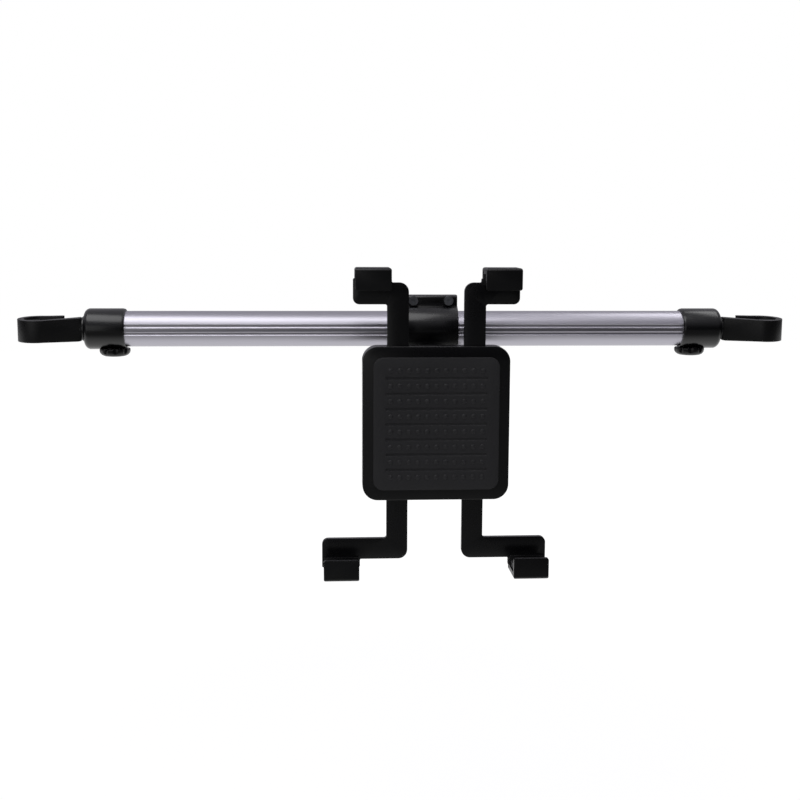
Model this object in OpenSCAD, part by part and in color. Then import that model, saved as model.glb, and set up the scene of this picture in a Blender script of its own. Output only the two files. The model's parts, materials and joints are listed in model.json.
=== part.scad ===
// Tablet mount that hangs between the two posts of a car headrest.
// A fluted aluminium bar holds two sliding rods, each with a hook for one post.
// A carriage on the bar carries a short arm, a ball joint and a self-centring
// cradle, whose four claws grip a flat device by its long edges.
// Frame: origin on the axis of the left post seat at the middle of the hook,
// +X along the bar, +Z up, and the user looks along +Y. Millimetres.

/* [Bar] */
// Outside diameter of the bar tube
tube_d = 24; // [22:0.5:28]
// Wall of the bar tube
tube_wall = 1.5; // [1.2:0.1:2]
// Length of tube that shows between the two collars
tube_shown = 379; // [330:1:460]
// Distance between the two flutes, centre to centre
flute_pitch = 4.8; // [4.4:0.1:6]
// Width of one flute
flute_w = 3; // [2.4:0.1:3.6]
// Depth of one flute
flute_depth = 0.8; // [0.5:0.1:1]

/* [Collars] */
// Length of one end collar
collar_len = 28.5; // [27:0.5:38]
// Length of tube held inside a collar
collar_grip = 18; // [15:0.5:20]
// Wall of the collar outside the tube
collar_wall = 1.7; // [1.4:0.1:3]
// Length of the rounded lip at the mouth
collar_lip = 1.8; // [0.6:0.1:2.5]
// Radius of the round shoulder at the hook end
collar_shoulder = 3.8; // [2.5:0.1:4.5]
// Length of the neck past the shoulder
collar_neck = 1.2; // [0.8:0.1:2]
// Wall of the neck around the rod
neck_wall = 0.9; // [0.6:0.1:1.4]

/* [Rods] */
// Outside diameter of a sliding rod
rod_d = 15; // [14:0.1:15.6]
// Wall of a sliding rod
rod_wall = 1.5; // [1.2:0.1:2]
// Length of rod that slides out of the collar
rod_travel = 120; // [80:1:130]
// Length of rod left inside the tube when it is fully out
rod_hold = 25; // [20:1:30]
// Length of the keyed guide bush on the inner end
bush_len = 12; // [8:0.5:16]

/* [Hooks] */
// Diameter of the headrest post
post_d = 12; // [10:0.5:13]
// Thickness of the soft pad around the post
post_pad_t = 3; // [2:0.1:4]
// Height of the soft pad around the post
post_pad_h = 12; // [9:0.5:13]
// Thickness of the hook band
hook_band = 4; // [3:0.1:6]
// Height of the hook band at the post
hook_h = 14.5; // [11:0.5:15]
// Lean of the edges of the hook band, up towards the back, in degrees
hook_lean = 4; // [0:0.5:6]
// Diameter of the hook where it meets the rod
hook_root_d = 15.5; // [15:0.1:18]
// Thickness of the round root plate
hook_root_t = 1.2; // [1:0.1:2.5]
// Distance from the collar to the post
hook_reach = 29.5; // [27:0.5:40]
// Distance from the bar axis forward to the post
hook_forward = 4; // [2:0.5:8]
// Width of the mouth through which the post comes in
hook_mouth = 12.4; // [12:0.1:14]
// Clearance of the hook spigot that turns inside the rod
spigot_clear = 0.05; // [0.02:0.01:0.1]
// Length of the hook spigot
spigot_len = 18; // [14:0.5:24]

/* [Thumb knobs] */
// Diameter of a thumb knob
thumb_d = 20.4; // [17:0.1:24]
// Height of a thumb knob
thumb_h = 5.4; // [4.5:0.1:8]
// Diameter of its flat foot
thumb_foot_d = 11; // [9:0.1:13]
// Height of its upright rim
thumb_rim = 1.8; // [1:0.1:3.5]
// Distance from the collar mouth to the thumb knob axis
thumb_inset = 8; // [7:0.1:10]
// Diameter of the locking studs
stud_d = 4; // [3:0.1:5]

/* [Carriage] */
// Place of the carriage along the bar
carriage_x = 263.5; // [200:0.5:300]
// Width of the carriage along the bar
carriage_w = 36; // [32:0.5:44]
// Wall of the carriage around the tube
carriage_wall = 4.85; // [4:0.05:6]
// Half height of the carriage flanges
flange_half = 23; // [22.5:0.1:25]
// Thickness of one flange
flange_t = 6; // [5:0.1:7]
// Diameter of the carriage screws
screw_d = 3.5; // [3:0.1:3.8]
// Distance between the carriage screws along the bar
screw_span = 24; // [22:0.5:26]
// Diameter of the carriage knob
carriage_knob_d = 30; // [24:0.5:36]
// Thickness of the carriage knob
carriage_knob_t = 13; // [10:0.5:18]

/* [Arm] */
// Drop from the bar axis to the arm hinge
hinge_drop = 36; // [35.5:0.1:42]
// Drop from the arm hinge to the ball
arm_drop = 22; // [20:0.5:34]
// Reach of the arm towards the user
arm_reach = 19; // [17:0.5:30]
// Radius of the hinge ears and lug
ear_r = 8; // [7:0.1:8.5]
// Thickness of the hinge lug
lug_t = 10; // [8:0.1:12]
// Thickness of one fork ear
ear_t = 5; // [4:0.1:7]
// Diameter of the hinge bolt
bolt_d = 6; // [5:0.1:7]
// Diameter of the hinge knob
arm_knob_d = 22; // [18:0.5:23]
// Thickness of the hinge knob
arm_knob_t = 11; // [9:0.5:15]

/* [Ball joint] */
// Diameter of the ball
ball_d = 18; // [16:0.1:19]
// Wall of the friction liner
liner_t = 1.15; // [0.9:0.05:1.5]
// Wall of the socket cup
cup_wall = 3.75; // [3:0.05:5]
// Wall of the ring nut around the cup
nut_wall = 3; // [2.4:0.1:4.5]
// Diameter of the ball stem
stem_d = 8; // [6:0.1:8.4]
// Distance from the ball centre to the cradle back
stem_reach = 20.1; // [19.5:0.1:30]
// Diameter of the turntable flange
turn_d = 30; // [26:0.5:36]
// Thickness of the turntable flange
turn_t = 3; // [2:0.1:4]

/* [Cradle] */
// Width of the cradle body
cradle_w = 96; // [86:0.5:110]
// Height of the cradle body
cradle_h = 101; // [96:0.5:112]
// Corner radius of the cradle body
cradle_r = 10; // [6:0.5:14]
// Wall of the cradle body
shell_t = 2.5; // [2:0.1:3.5]
// Thickness of the soft rest pad
rest_pad_t = 1.5; // [1:0.1:3]
// Margin of cradle face around the rest pad
rest_pad_in = 7; // [5:0.5:12]
// Distance between the grooves of the rest pad
groove_pitch = 10; // [6:0.5:14]
// Width of a groove in the rest pad
groove_w = 2; // [1:0.1:3]
// Length of rest pad left beside the end of a groove
groove_in = 8; // [5:0.5:12]

/* [Jaws] */
// Opening between the upper and lower claws
jaw_gap = 186; // [182:0.5:205]
// Length that each jaw slides in
jaw_in = 25; // [10:0.5:26]
// Length that each jaw slides out
jaw_out = 7.5; // [4:0.5:8]
// Thickness of the jaw plates
jaw_t = 3.5; // [2.5:0.1:5]
// Place of the jaw legs beside the middle
leg_x = 25; // [23:0.5:27]
// Width of a jaw leg
leg_w = 14; // [10:0.5:15]
// Distance between the two upper claws
upper_span = 83; // [76:0.5:96]
// Distance between the two lower claws
lower_span = 124; // [100:0.5:130]
// Module of the pinion and racks
gear_m = 1.25; // [1:0.05:1.3]
// Number of pinion teeth
gear_n = 12; // [10:2:14]

/* [Claws] */
// Width of a claw
claw_w = 23; // [21:0.5:28]
// Wall of a claw
claw_t = 4; // [3:0.1:5]
// Thickness of the soft pad in a claw
claw_pad_t = 4.3; // [3:0.1:5]
// Length of the lip in front of the device
lip_over = 5.8; // [4:0.1:8]
// Thickness of the lip
lip_t = 3; // [2:0.1:4]
// Radius of the claw's corners
claw_corner = 1.5; // [1:0.1:4]
// Greatest thickness of the held device
device_t = 8.8; // [7:0.1:14]

/* [Hidden] */
$fn = 96;

// Clearances
fit = 0.05;
slide_clear = 0.1;
run_gap = 0.3;
bush_clear = 0.15;

// Bar
tube_r = tube_d / 2;
bore_r = tube_r - tube_wall;
flute_r = (pow(flute_w / 2, 2) + pow(flute_depth, 2)) / (2 * flute_depth);
flute_out = tube_r + flute_r - flute_depth;
flute_angle = asin(flute_pitch / 2 / tube_r);
rod_r = rod_d / 2;
collar_r = tube_r + fit + collar_wall;
mouth_left = hook_reach + collar_len;
mouth_right = mouth_left + tube_shown;
end_right = mouth_right + collar_len;
bar_y = hook_forward;
tube_len = tube_shown + 2 * collar_grip;
rod_len = rod_travel + collar_len + rod_hold;
skirt_r = flute_out - flute_r - tube_wall - 0.2;

// Hooks, in a frame at the end of a collar with x outward
rod_proud = 0.1;
root_x0 = rod_proud + 0.2;
root_flare = 0.9;
root_x1 = root_x0 + hook_root_t;
seat_r = post_d / 2 + post_pad_t;
hook_r = seat_r + hook_band;
seat = [hook_reach, hook_forward];
spigot_r = rod_r - rod_wall - spigot_clear;
pin_r = 1;
pin_in = 9;
groove_r = spigot_r - 1.1;

// Thumb screws
thumb_x = collar_len - thumb_inset;
thumb_top = collar_r - 0.65;
stud_r = stud_d / 2;
lock_nut_w = stud_d + 3;
lock_nut_t = 2;
lock_nut_top = rod_r + 0.2;

// Carriage
carriage_bore = tube_r + 0.15;
carriage_r = carriage_bore + carriage_wall;
split = 0.3;
screw_head_d = screw_d * 1.8;
screw_head_t = screw_d * 0.65;
screw_z = sqrt(pow(carriage_r, 2) - pow(flange_t, 2)) + screw_head_d / 2 + 0.3;
boss_r = 8;
boss_len = 6;
insert_r = stud_d / 2 + 2;
insert_len = 7;
carriage_stud_r = 2.5;

// Arm and ball
hinge = [carriage_x, bar_y, -hinge_drop];
ball = [carriage_x, bar_y - arm_reach, -hinge_drop - arm_drop];
ear_x0 = lug_t / 2 + run_gap;
ear_x1 = ear_x0 + ear_t;
bolt_r = bolt_d / 2;
bolt_head_t = 4;
washer_t = 1;
ball_r = ball_d / 2;
liner_in = ball_r + fit;
liner_out = liner_in + liner_t;
seat_in = liner_out + fit;
cup_r = seat_in + cup_wall;
cup_rim = 3.3;
nut_r = cup_r + fit + nut_wall;
lip_in = 3.0;
nut_front = cup_rim + 5.2;
nut_skirt = 2.8;
notch_r = 2;
stem_r = stem_d / 2;
turn_r = turn_d / 2;
turn_gap = 0.2;
turn_hole_r = 10;
turn_ring_r = turn_r + 6;
turn_ring_t = turn_t + 2 * turn_gap + 2.8;
turn_screw_r = turn_r + 3.1;

// Cradle planes, each a place on Y
back_y = ball[1] - stem_reach;
back_in = back_y - shell_t;
low_y = back_in - run_gap - jaw_t;
up_y = low_y - run_gap - jaw_t;
lid_y = up_y - run_gap;
face_y = lid_y - shell_t;
rest_y = face_y - rest_pad_t;
lip_y = rest_y - device_t;
inner_deep = back_in - lid_y;
inner_half = cradle_h / 2 - shell_t;
post_r = 4;
post_x = cradle_w / 2 - 2 * post_r;
post_z = cradle_h / 2 - 2 * post_r;
case_screw_r = 1.5;

// Jaws
bar_top = inner_half - jaw_out - 0.4;
bar_w = 6;
pitch_r = gear_m * gear_n / 2;
pressure = 25;
backlash = 0.15;
tooth_step = PI * gear_m;
tip_r = pitch_r + gear_m;
root_r = pitch_r - 1.25 * gear_m;
rack_w = 5;
tongue_end = jaw_out + 5.2 * gear_m;
pinion_bore = 2.05;
washer_wave = 0.5;
pinion_t = 2 * jaw_t + run_gap - 0.7;
bend_z = cradle_h / 2 + jaw_in + leg_w / 2 + 2;
corner_steps = 8;
claw_z = jaw_gap / 2;
claw_top = claw_z + claw_pad_t + claw_t;
claw_back = 2;
claw_front_wall = 1.8;
claw_root = 3;
tail_w = claw_w - 3;
tail_top = claw_top - 2;

// Turn a shape so that its z axis points along +X
module along_x(x, y, z) translate([x, y, z]) rotate([0, 90, 0]) children();

// Turn a shape so that its z axis points to the user, along -Y
module to_user(x, y, z) translate([x, y, z]) rotate([90, 0, 0]) children();

// Turn a shape so that its z axis points away from the user, along +Y
module from_user(x, y, z) translate([x, y, z]) rotate([-90, 0, 0]) children();

// Extrude an outline drawn in Y and Z along X, centred on a place
module wide(x, w) translate([x - w / 2, 0, 0]) rotate([90, 0, 90]) linear_extrude(w) children();

// Put a shape at one end of the bar: side is -1 for left and 1 for right
module at_end(side)
    translate([side < 0 ? hook_reach : end_right, bar_y, 0])
        mirror([side < 0 ? 1 : 0, 0, 0]) children();

// Straight strip with round ends
module strip(a, b, w) {
    len = norm(b - a);
    translate(a) rotate(atan2(b[1] - a[1], b[0] - a[0])) translate([0, -w / 2]) square([len, w]);
    translate(a) circle(w / 2);
    translate(b) circle(w / 2);
}

// Rectangle with round corners, centred
module soft_rect(w, h, r) {
    square([w - 2 * r, h], center = true);
    square([w, h - 2 * r], center = true);
    for (sx = [-1, 1], sz = [-1, 1])
        translate([sx * (w / 2 - r), sz * (h / 2 - r)]) circle(r);
}

// Centre of each flute cut, on the front and on the back
module at_flutes()
    for (face = [0, 180], side = [-1, 1])
        rotate(face + side * flute_angle) translate([flute_out, 0]) children();

// Scalloped hand knob, with its flat face at 0 and its foot at h
module grip_knob(d, h, foot_d, rim, hole_r, hole_deep, lobes, cut) {
    bite = d * 0.16;
    flank_w = (d - foot_d) / 2;
    bowl = [for (a = [0:22.5:90]) [foot_d / 2 + flank_w * cos(a), rim + (h - rim) * sin(a)]];
    difference() {
        rotate_extrude()
            polygon(concat([[0, 0], [d / 2 - 0.5, 0], [d / 2, 0.5]], bowl, [[0, h]]));
        for (i = [0:lobes - 1])
            rotate((i + 0.5) * 360 / lobes) translate([d / 2 + bite - cut, 0, -1])
                cylinder(h = h + 2, r = bite, $fn = 32);
        translate([0, 0, -1]) cylinder(h = hole_deep + 1, r = hole_r);
    }
}

module bar_tube() {
    color("silver")
        difference() {
            translate([mouth_left - collar_grip, bar_y, 0]) rotate([90, 0, 90])
                linear_extrude(tube_len) difference() {
                    circle(tube_r);
                    at_flutes() circle(flute_r);
                    difference() {
                        circle(bore_r);
                        at_flutes() circle(flute_r + tube_wall);
                    }
                }
            for (side = [-1, 1])
                at_end(side) translate([-collar_len + thumb_inset, 0, -tube_r - 1])
                    cylinder(h = tube_wall + 3, r = stud_r + 0.3);
        }
}

module collar_outline() {
    barrel = collar_len - collar_neck - collar_shoulder;
    square([collar_r, barrel]);
    square([collar_r - collar_shoulder, collar_len - collar_neck]);
    translate([collar_r - collar_shoulder, barrel]) circle(collar_shoulder);
    square([rod_r + slide_clear + neck_wall, collar_len]);
}

module collar(side) {
    color([0.10, 0.10, 0.12])
        at_end(side) difference() {
            along_x(-collar_len, 0, 0) rotate_extrude() difference() {
                collar_outline();
                translate([skirt_r, -1]) square([tube_r + fit - skirt_r, collar_grip + 1]);
                translate([0, -1]) square([rod_r + slide_clear, collar_len + 2]);
                polygon([
                    [collar_r + 1, -1], [collar_r - collar_lip * 0.5, -1], [collar_r - collar_lip * 0.5, 0],
                    [collar_r - collar_lip * 0.2, collar_lip * 0.3], [collar_r, collar_lip],
                    [collar_r + 1, collar_lip]
                ]);
            }
            translate([-collar_len + thumb_inset, 0, -collar_r - 1]) {
                cylinder(h = collar_r - rod_r + 2, r = stud_r + 0.2);
                cylinder(h = collar_r + 1 - thumb_top + 0.2, r = thumb_d / 2 + 0.5);
            }
            translate([-collar_len + thumb_inset, 0, -(lock_nut_top + skirt_r) / 2])
                cube([lock_nut_w + 0.2, lock_nut_w + 0.2, skirt_r - lock_nut_top + 3], center = true);
        }
}

module rod(side) {
    color("gainsboro")
        at_end(side) difference() {
            along_x(rod_proud - rod_len, 0, 0) rotate_extrude()
                translate([rod_r - rod_wall, 0]) square([rod_wall, rod_len]);
            translate([root_x0 - pin_in, 0, -rod_r - 1]) cylinder(h = rod_wall + 2, r = pin_r + 0.02);
        }
}

module rod_bush(side) {
    color([0.18, 0.18, 0.2])
        at_end(side) {
            inner = rod_proud - rod_len;
            wide(inner + bush_len / 2, bush_len) difference() {
                circle(bore_r - bush_clear);
                at_flutes() circle(flute_r + tube_wall + bush_clear);
                circle(rod_r + fit);
            }
            along_x(inner - 2, 0, 0) cylinder(h = 1.95, r = rod_r + 0.6);
            for (a = [45:90:315])
                translate([inner - 1, 0, 0]) rotate([a, 0, 0]) translate([0, 0, rod_r + 0.45])
                    cube([2.2, 3, 0.7], center = true);
        }
}

// Point where a line from p touches the circle c, r on its left
function touch(p, c, r) =
    let (d = norm(c - p), t = atan2(c[1] - p[1], c[0] - p[0]) + asin(r / d))
    c + r * [-sin(t), cos(t)];

// Part of the plane around the post seat from the far side to an angle on the near side
module seat_sector(angle)
    translate(seat) polygon([
        [0, 0], [0, -2 * hook_r], [2 * hook_r, -2 * hook_r], [2 * hook_r, 2 * hook_r],
        [0, 2 * hook_r], 2 * hook_r * [-sin(angle), cos(angle)]
    ]);

root_out = [root_x0, hook_root_d / 2 - 0.5];
root_in = [root_x1, 0];
near_out = touch(root_out, seat, hook_r - 0.15);
near_in = touch(root_in, seat, seat_r - 0.15);
far_w = hook_forward - seat_r - hook_band / 2;

module hook_plan() {
    inner_w = far_w + hook_band / 2;
    difference() {
        union() {
            translate(seat) circle(hook_r);
            polygon([root_out, root_in, seat, near_out]);
            strip([root_x1 + hook_mouth + hook_band / 2, far_w], [hook_reach, far_w], hook_band);
        }
        translate(seat) circle(seat_r);
        polygon([root_in, [root_x1, inner_w], [seat[0], inner_w], seat, near_in]);
    }
}

module hook(side) {
    color([0.07, 0.07, 0.08])
        at_end(side) {
            intersection() {
                mirror([0, 1, 0]) linear_extrude(2 * hook_root_d, center = true) hook_plan();
                along_x(root_x0, 0, 0)
                    cylinder(h = 2 * hook_reach, r1 = hook_root_d / 2 + root_flare, r2 = 3 * hook_reach);
                translate([0, -hook_forward, 0]) rotate([hook_lean, 0, 0])
                to_user(0, 2 * hook_r, 0) linear_extrude(4 * hook_r) polygon([
                    [root_x0, -hook_root_d / 2], [hook_reach - seat_r / 2, -hook_h / 2],
                    [hook_reach + 2 * hook_r, -hook_h / 2], [hook_reach + 2 * hook_r, hook_h / 2],
                    [hook_reach - seat_r / 2, hook_h / 2], [root_x0, hook_root_d / 2]
                ]);
            }
            along_x(root_x0, 0, 0) cylinder(h = hook_root_t, r = hook_root_d / 2);
            along_x(root_x0 - spigot_len, 0, 0) rotate_extrude() difference() {
                square([spigot_r, spigot_len + 0.1]);
                translate([groove_r, spigot_len - pin_in - pin_r - 0.15])
                    square([spigot_r, 2 * pin_r + 0.3]);
            }
        }
}

module hook_pad(side) {
    color([0.16, 0.16, 0.17])
        at_end(side) mirror([0, 1, 0]) linear_extrude(post_pad_h, center = true)
            intersection() {
                translate(seat) difference() {
                    circle(seat_r - fit);
                    circle(post_d / 2);
                }
                seat_sector(20);
            }
}

module hook_pin(side) {
    color("darkgray")
        at_end(side) translate([root_x0 - pin_in, 0, -rod_r + 0.1])
            cylinder(h = rod_r - groove_r - 0.3, r = pin_r);
}

module thumb_knob(side) {
    color([0.06, 0.06, 0.07])
        at_end(side) translate([-collar_len + thumb_inset, 0, -thumb_top]) rotate([180, 0, 0])
            grip_knob(thumb_d, thumb_h, thumb_foot_d, thumb_rim, stud_r + fit, thumb_h - 1.5, 9, 0.7);
}

module lock_stud(side) {
    color("darkgray")
        at_end(side) translate([-collar_len + thumb_inset, 0, -thumb_top - thumb_h + 1.8])
            cylinder(h = thumb_top + thumb_h - 1.8 - rod_r - slide_clear, r = stud_r);
}

module lock_nut(side) {
    color("goldenrod")
        at_end(side) translate([-collar_len + thumb_inset, 0, -lock_nut_top - lock_nut_t / 2])
            difference() {
                cube([lock_nut_w, lock_nut_w, lock_nut_t], center = true);
                cylinder(h = lock_nut_t + 1, r = stud_r + fit, center = true);
            }
}

// Section of the carriage ring with both flanges, about the bar axis
module carriage_ring() {
    difference() {
        union() {
            circle(carriage_r);
            soft_rect(2 * flange_t, 2 * flange_half, 2);
        }
        circle(carriage_bore);
    }
}

module at_screws()
    for (sx = [-1, 1], sz = [-1, 1])
        translate([carriage_x + sx * screw_span / 2, bar_y, sz * screw_z]) children();

module carriage_body() {
    color([0.10, 0.10, 0.11])
        difference() {
            union() {
                translate([0, bar_y, 0]) wide(carriage_x, carriage_w) {
                    intersection() {
                        carriage_ring();
                        translate([split / 2, -2 * flange_half]) square(4 * flange_half);
                    }
                    for (side = [-1, 1])
                        rotate(side * flute_angle) translate([flute_out, 0]) circle(flute_r - 0.25);
                }
                from_user(carriage_x, bar_y + carriage_r - 2, 0) cylinder(h = boss_len + 2, r = boss_r);
                wide(carriage_x, lug_t) {
                    translate([hinge[1], hinge[2]]) circle(ear_r);
                    translate([bar_y + split / 2, hinge[2]])
                        square([ear_r - split / 2, hinge_drop - flange_half + 2]);
                }
            }
            from_user(carriage_x, bar_y + tube_r - 1, 0)
                cylinder(h = carriage_wall + boss_len + 4, r = carriage_stud_r + 0.3);
            from_user(carriage_x, bar_y + carriage_r + boss_len - insert_len, 0)
                cylinder(h = insert_len + 1, r = insert_r + fit);
            along_x(carriage_x - lug_t, hinge[1], hinge[2]) cylinder(h = 2 * lug_t, r = bolt_r + fit);
            at_screws() from_user(0, -1, 0) cylinder(h = flange_t + 2, r = screw_d / 2 + 0.2);
            at_screws() from_user(0, flange_t - screw_head_t, 0)
                cylinder(h = screw_head_t + 1, r = screw_head_d / 2 + 0.1, $fn = 6);
        }
}

module carriage_cap() {
    color([0.10, 0.10, 0.11])
        difference() {
            translate([0, bar_y, 0]) wide(carriage_x, carriage_w) intersection() {
                carriage_ring();
                translate([-split / 2 - 4 * flange_half, -2 * flange_half]) square(4 * flange_half);
            }
            at_screws() to_user(0, 1, 0) cylinder(h = flange_t + 2, r = screw_d / 2 + 0.2);
        }
}

module carriage_screws() {
    color("silver")
        at_screws() {
            to_user(0, flange_t - 0.2, 0) cylinder(h = 2 * flange_t - 0.2, r = screw_d / 2);
            to_user(0, -flange_t, 0) difference() {
                cylinder(h = screw_head_t, r = screw_head_d / 2);
                translate([0, 0, screw_head_t / 2]) cylinder(h = screw_head_t, r = screw_d * 0.4, $fn = 6);
            }
        }
}

module carriage_nuts() {
    color("silver")
        at_screws() from_user(0, flange_t - screw_head_t, 0) difference() {
            cylinder(h = screw_head_t, r = screw_head_d / 2, $fn = 6);
            translate([0, 0, -1]) cylinder(h = screw_head_t + 2, r = screw_d / 2 + fit);
        }
}

module carriage_insert() {
    color("goldenrod")
        from_user(carriage_x, bar_y + carriage_r + boss_len - insert_len, 0) difference() {
            cylinder(h = insert_len, r = insert_r);
            translate([0, 0, -1]) cylinder(h = insert_len + 2, r = carriage_stud_r + fit);
        }
}

stud_tip = bar_y + tube_r + slide_clear;
carriage_knob_y = bar_y + carriage_r + boss_len + 1;

module carriage_stud() {
    color("darkgray")
        from_user(carriage_x, stud_tip, 0)
            cylinder(h = carriage_knob_y + carriage_knob_t - 4 - stud_tip, r = carriage_stud_r);
}

module carriage_knob() {
    color([0.06, 0.06, 0.07])
        from_user(carriage_x, carriage_knob_y, 0)
            grip_knob(carriage_knob_d, carriage_knob_t, carriage_knob_d * 0.8, carriage_knob_t * 0.7,
                carriage_stud_r + fit, carriage_knob_t - 3, 7, 2);
}

module arm() {
    reach = [ball[1] - hinge[1], ball[2] - hinge[2]];
    tilt = atan2(reach[1], reach[0]);
    neck = norm(reach);
    color([0.09, 0.09, 0.10])
        difference() {
            union() {
                wide(carriage_x, 2 * ear_x1) {
                    translate([hinge[1], hinge[2]]) {
                        circle(ear_r);
                        rotate(tilt) translate([0, -ear_r]) square([neck, 2 * ear_r]);
                    }
                }
                to_user(ball[0], ball[1], ball[2]) rotate_extrude() {
                    intersection() {
                        circle(cup_r + 0.5);
                        translate([0, -2 * cup_r]) square([cup_r, 2 * cup_r + cup_rim]);
                    }
                }
            }
            wide(carriage_x, lug_t + 2 * run_gap) translate([hinge[1], hinge[2]]) {
                circle(ear_r + 0.7);
                rotate(90) translate([0, -ear_r - 0.7]) square([2 * ear_r, 2 * ear_r + 1.4]);
            }
            translate(ball) sphere(seat_in);
            to_user(ball[0], ball[1], ball[2]) cylinder(h = 3 * ball_r, r = seat_in);
            to_user(ball[0], ball[1] - cup_rim, ball[2]) cylinder(h = 3 * ball_r, r = 3 * ball_r);
            to_user(ball[0], ball[1] + 3, ball[2]) difference() {
                cylinder(h = 4 * ball_r, r = 3 * ball_r);
                translate([0, 0, -1]) cylinder(h = 4 * ball_r + 2, r = cup_r);
            }
            along_x(carriage_x - 2 * ear_x1, hinge[1], hinge[2]) cylinder(h = 4 * ear_x1, r = bolt_r + fit);
        }
}

module arm_bolt() {
    color("silver")
        along_x(carriage_x - ear_x1 - bolt_head_t, hinge[1], hinge[2]) {
            difference() {
                cylinder(h = bolt_head_t, r = bolt_d * 0.85);
                translate([0, 0, -1]) cylinder(h = bolt_head_t * 0.6 + 1, r = bolt_d * 0.48, $fn = 6);
            }
            cylinder(h = bolt_head_t + 2 * ear_x1 + washer_t + arm_knob_t - 3, r = bolt_r);
        }
}

module arm_washer() {
    color("silver")
        along_x(carriage_x + ear_x1 + 0.05, hinge[1], hinge[2]) difference() {
            cylinder(h = washer_t, r = bolt_d);
            translate([0, 0, -1]) cylinder(h = washer_t + 2, r = bolt_r + fit);
        }
}

arm_knob_x = carriage_x + ear_x1 + washer_t + 0.2;

module arm_knob() {
    color([0.06, 0.06, 0.07])
        along_x(arm_knob_x, hinge[1], hinge[2])
            grip_knob(arm_knob_d, arm_knob_t, arm_knob_d * 0.78, arm_knob_t * 0.7,
                bolt_r + 1.5 + fit, arm_knob_t - 2, 7, 1.5);
}

module arm_knob_insert() {
    color("goldenrod")
        along_x(arm_knob_x, hinge[1], hinge[2]) difference() {
            cylinder(h = arm_knob_t - 2.2, r = bolt_r + 1.5);
            translate([0, 0, -1]) cylinder(h = arm_knob_t, r = bolt_r + fit);
        }
}

module socket_ring() {
    color([0.08, 0.08, 0.09])
        to_user(ball[0], ball[1], ball[2]) difference() {
            rotate_extrude() difference() {
                translate([0, -nut_skirt]) square([nut_r, nut_front + nut_skirt]);
                translate([0, -nut_skirt - 1]) square([cup_r + fit, cup_rim + nut_skirt + 1]);
                circle(ball_r + 0.08);
                polygon([[0, 0], [ball_r - 2.5, 0], [ball_r - 2.5, cup_rim + lip_in],
                    [ball_r - 0.4, nut_front], [ball_r + 2.5, 2 * nut_front], [0, 2 * nut_front]]);
            }
            for (a = [0:30:330])
                rotate(a) translate([nut_r + 0.6 * notch_r, 0, -2 * nut_skirt])
                    cylinder(h = nut_front + 4 * nut_skirt, r = notch_r, $fn = 24);
        }
}

module ball_liner() {
    color([0.85, 0.85, 0.82])
        to_user(ball[0], ball[1], ball[2]) rotate_extrude() intersection() {
            difference() {
                circle(liner_out);
                circle(liner_in);
            }
            translate([0, -2 * ball_r]) square([2 * ball_r, 2 * ball_r + 1]);
        }
}

module ball_stud() {
    color("silver") {
        translate(ball) sphere(ball_r);
        to_user(ball[0], ball[1], ball[2]) rotate_extrude() {
            square([stem_r, stem_reach - turn_gap]);
            polygon([[0, stem_reach - turn_gap - turn_t - 3], [stem_r, stem_reach - turn_gap - turn_t - 3],
                [turn_hole_r - 1.5, stem_reach - turn_gap - turn_t], [0, stem_reach - turn_gap - turn_t]]);
            translate([0, stem_reach - turn_gap - turn_t]) square([turn_r, turn_t]);
        }
    }
}

module at_turn_screws()
    for (a = [45:90:315]) translate([ball[0], 0, ball[2]]) rotate([0, a, 0])
        translate([turn_screw_r, 0, 0]) children();

module turntable_ring() {
    color([0.09, 0.09, 0.10])
        difference() {
            from_user(ball[0], back_y, ball[2]) difference() {
                cylinder(h = turn_ring_t, r = turn_ring_r);
                translate([0, 0, -1]) cylinder(h = turn_t + 2 * turn_gap + 1, r = turn_r + 0.3);
                cylinder(h = turn_ring_t + 1, r = turn_hole_r);
            }
            at_turn_screws() from_user(0, back_y - 1, 0) cylinder(h = turn_ring_t + 2, r = 1.3);
            at_turn_screws() from_user(0, back_y + turn_ring_t - 1.6, 0) cylinder(h = 3, r = 2.3);
        }
}

module turntable_screws() {
    color("silver")
        at_turn_screws() {
            from_user(0, back_y - 2, 0) cylinder(h = turn_ring_t + 0.6, r = 1.2);
            from_user(0, back_y + turn_ring_t - 1.5, 0) difference() {
                cylinder(h = 1.5, r = 2.2);
                translate([0, 0, 0.7]) cylinder(h = 2, r = 1.1, $fn = 6);
            }
        }
}

module case_outline() soft_rect(cradle_w, cradle_h, cradle_r);

// Slots in the case walls through which the legs of one jaw slide
module leg_slots(up, y)
    for (side = [-1, 1])
        translate([ball[0] + side * leg_x, y + jaw_t / 2, ball[2] + up * cradle_h / 2])
            cube([leg_w + 2 * run_gap, jaw_t + 2 * run_gap, 4 * shell_t], center = true);

module at_posts()
    for (sx = [-1, 1], sz = [-1, 1])
        translate([ball[0] + sx * post_x, 0, ball[2] + sz * post_z]) children();

module cradle_back() {
    color([0.09, 0.09, 0.10])
        difference() {
            union() {
                difference() {
                    to_user(ball[0], back_y, ball[2]) linear_extrude(back_y - lid_y) case_outline();
                    to_user(ball[0], back_in, ball[2]) linear_extrude(inner_deep + 1)
                        soft_rect(cradle_w - 2 * shell_t, cradle_h - 2 * shell_t, cradle_r - shell_t);
                }
            }
            leg_slots(1, up_y);
            leg_slots(-1, low_y);
            to_user(ball[0], back_in + 1.2, ball[2]) cylinder(h = 3, r = 2 + fit);
            at_turn_screws() from_user(0, back_y - 2.1, 0) cylinder(h = 3, r = 1.25);
            at_posts() from_user(0, back_in - 1, 0) cylinder(h = shell_t + 2, r = case_screw_r + 0.15);
            at_posts() from_user(0, back_y - 1, 0) cylinder(h = 2, r = 2.9);
        }
}

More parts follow.
